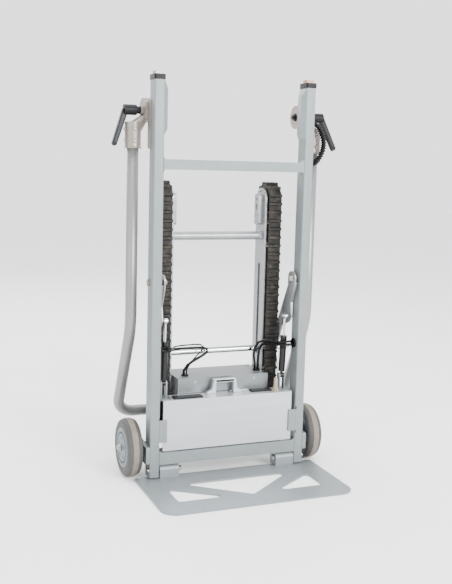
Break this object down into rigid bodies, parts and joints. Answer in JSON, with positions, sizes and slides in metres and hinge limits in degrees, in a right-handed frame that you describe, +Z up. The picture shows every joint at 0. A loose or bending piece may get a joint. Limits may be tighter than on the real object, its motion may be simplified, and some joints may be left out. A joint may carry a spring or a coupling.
{
  "type": "powered stair-climbing hand truck",
  "caption": "Two-wheeled hand truck with swing-out rubber stair tracks, a drop-down push handle, a fold-up toe plate and a lift-out battery",
  "frame": {"origin": "on the floor under the front face of the rails, midway between them", "axes": "+Z up along the rails, +Y towards the back where the tracks and the push handle are, +X to the right seen from the front"},
  "size_m": [0.7232, 0.5405, 1.226],
  "materials": {
    "frame_metal": "satin silver-grey coat, fine grain",
    "track_metal": "brushed, slightly worn",
    "cast_joint": "cast, warm grey, satin",
    "tube_metal": "anodised satin tube",
    "bright_steel": "polished",
    "bolt_steel": "zinc plated",
    "black_steel": "black",
    "black_plastic": "matte black",
    "cap_copper": "satin",
    "sheet_metal": "folded sheet",
    "toe_metal": "satin, bluish grey",
    "battery_metal": "bright brushed",
    "cell_wrap": "wrapped cells",
    "socket_plastic": "cream",
    "belt_rubber": "dusty dark grey",
    "cable_rubber": "black sheath",
    "tyre_rubber": "grey tread with a tan centre band",
    "hub_plastic": "light blue-grey",
    "wheel_plastic": "dark grey",
    "motor_metal": "black painted",
    "gear_metal": "cast"
  },
  "bodies": {
    "frame": {"left_rail": "frame_metal", "right_rail": "frame_metal", "upper_crossbar": "frame_metal", "lower_crossbar": "frame_metal", "rail_caps": "black_plastic", "cap_blocks": "cap_copper", "pivot_lugs": "cast_joint", "pivot_bolts": "black_steel", "axle_brackets": "frame_metal", "wheel_axles": "bolt_steel", "hinge_bolts": "bolt_steel", "strut_brackets": "frame_metal", "arm_bolts": "bolt_steel", "drive_mount": "sheet_metal", "side_brackets": "sheet_metal", "gearbox": "gear_metal", "drive_motor": "motor_metal", "control_box": "sheet_metal", "control_lid": "sheet_metal", "box_screws": "bolt_steel", "cable_glands": "black_plastic", "left_cables": "cable_rubber", "right_cables": "cable_rubber"},
    "drive": {"drive_shaft": "bolt_steel", "drive_pulleys": "wheel_plastic"},
    "track_unit": {"left_inner_plate": "track_metal", "right_inner_plate": "track_metal", "outer_plates": "track_metal", "left_belt": "belt_rubber", "right_belt": "belt_rubber", "cross_tube": "track_metal", "tensioner_covers": "track_metal", "track_fasteners": "bolt_steel"},
    "left_idler_wheel": {"left_idler": "wheel_plastic"},
    "right_idler_wheel": {"right_idler": "wheel_plastic"},
    "swing_arms": {"left_arm": "track_metal", "right_arm": "track_metal", "slide_shaft": "bright_steel"},
    "left_strut_tube": {"left_strut": "black_steel"},
    "right_strut_tube": {"right_strut": "black_steel"},
    "left_strut_rod": {"left_rod": "bright_steel"},
    "right_strut_rod": {"right_rod": "bright_steel"},
    "handle": {"handle_tube": "tube_metal", "left_handle_joint": "cast_joint", "right_handle_joint": "cast_joint", "socket_screws": "bolt_steel", "cable_hose": "cable_rubber"},
    "left_clamp": {"left_lever": "black_plastic"},
    "right_clamp": {"right_lever": "black_plastic"},
    "toe": {"toe_plate": "toe_metal", "hinge_blocks": "toe_metal"},
    "battery": {"battery_case": "battery_metal", "battery_cells": "cell_wrap", "battery_handle": "battery_metal", "battery_pads": "black_plastic", "battery_socket": "socket_plastic"},
    "left_wheel": {"left_tyre": "tyre_rubber", "left_hub": "hub_plastic"},
    "right_wheel": {"right_tyre": "tyre_rubber", "right_hub": "hub_plastic"}
  },
  "joints": [
    {"name": "toe_fold", "type": "hinge", "parent": "frame", "child": "toe", "pos_m": [0, 0.012, 0.03], "axis": [-1, 0, 0], "range_deg": [0, 80]},
    {"name": "handle_fold", "type": "hinge", "parent": "frame", "child": "handle", "pos_m": [0, 0.0865, 1.115], "axis": [1, 0, 0], "range_deg": [0, 150]},
    {"name": "left_clamp_turn", "type": "hinge", "parent": "frame", "child": "left_clamp", "pos_m": [0, 0.0865, 1.115], "axis": [1, 0, 0], "range_deg": [-45, 90]},
    {"name": "right_clamp_turn", "type": "hinge", "parent": "frame", "child": "right_clamp", "pos_m": [0, 0.0865, 1.115], "axis": [1, 0, 0], "range_deg": [-45, 90]},
    {"name": "left_wheel_spin", "type": "hinge", "parent": "frame", "child": "left_wheel", "pos_m": [-0.303, 0.077, 0.09], "axis": [1, 0, 0], "continuous": true},
    {"name": "right_wheel_spin", "type": "hinge", "parent": "frame", "child": "right_wheel", "pos_m": [0.303, 0.077, 0.09], "axis": [1, 0, 0], "continuous": true},
    {"name": "track_swing", "type": "hinge", "parent": "frame", "child": "track_unit", "pos_m": [0, 0.156, 0.13], "axis": [-1, 0, 0], "range_deg": [0, 13]},
    {"name": "arm_swing", "type": "hinge", "parent": "frame", "child": "swing_arms", "pos_m": [0, 0.032, 0.608], "axis": [1, 0, 0], "range_deg": [0, 15.5]},
    {"name": "left_strut_swing", "type": "hinge", "parent": "frame", "child": "left_strut_tube", "pos_m": [0, 0.057, 0.29], "axis": [-1, 0, 0], "range_deg": [0, 9.04]},
    {"name": "right_strut_swing", "type": "hinge", "parent": "frame", "child": "right_strut_tube", "pos_m": [0, 0.057, 0.29], "axis": [-1, 0, 0], "range_deg": [0, 9.04]},
    {"name": "left_rod_slide", "type": "slide", "parent": "left_strut_tube", "child": "left_strut_rod", "axis": [0, -0.0608, 0.9981], "range_m": [0, 0.0074]},
    {"name": "right_rod_slide", "type": "slide", "parent": "right_strut_tube", "child": "right_strut_rod", "axis": [0, -0.0608, 0.9981], "range_m": [0, 0.0074]},
    {"name": "drive_spin", "type": "hinge", "parent": "frame", "child": "drive", "pos_m": [0, 0.156, 0.13], "axis": [1, 0, 0], "continuous": true},
    {"name": "left_idler_spin", "type": "hinge", "parent": "track_unit", "child": "left_idler_wheel", "pos_m": [-0.184, 0.156, 0.854], "axis": [1, 0, 0], "continuous": true},
    {"name": "right_idler_spin", "type": "hinge", "parent": "track_unit", "child": "right_idler_wheel", "pos_m": [0.184, 0.156, 0.854], "axis": [1, 0, 0], "continuous": true},
    {"name": "battery_lift", "type": "slide", "parent": "frame", "child": "battery", "axis": [0, 0, 1], "range_m": [0, 0.11]}
  ],
  "couplings": [
    {"joint": "arm_swing", "follows": "track_swing", "ratio": 1.1923},
    {"joint": "left_strut_swing", "follows": "track_swing", "ratio": 0.6954},
    {"joint": "right_strut_swing", "follows": "track_swing", "ratio": 0.6954},
    {"joint": "left_rod_slide", "follows": "track_swing", "m_per_rad": 0.03262},
    {"joint": "right_rod_slide", "follows": "track_swing", "m_per_rad": 0.03262},
    {"joint": "left_idler_spin", "follows": "drive_spin", "ratio": 1},
    {"joint": "right_idler_spin", "follows": "drive_spin", "ratio": 1}
  ]
}
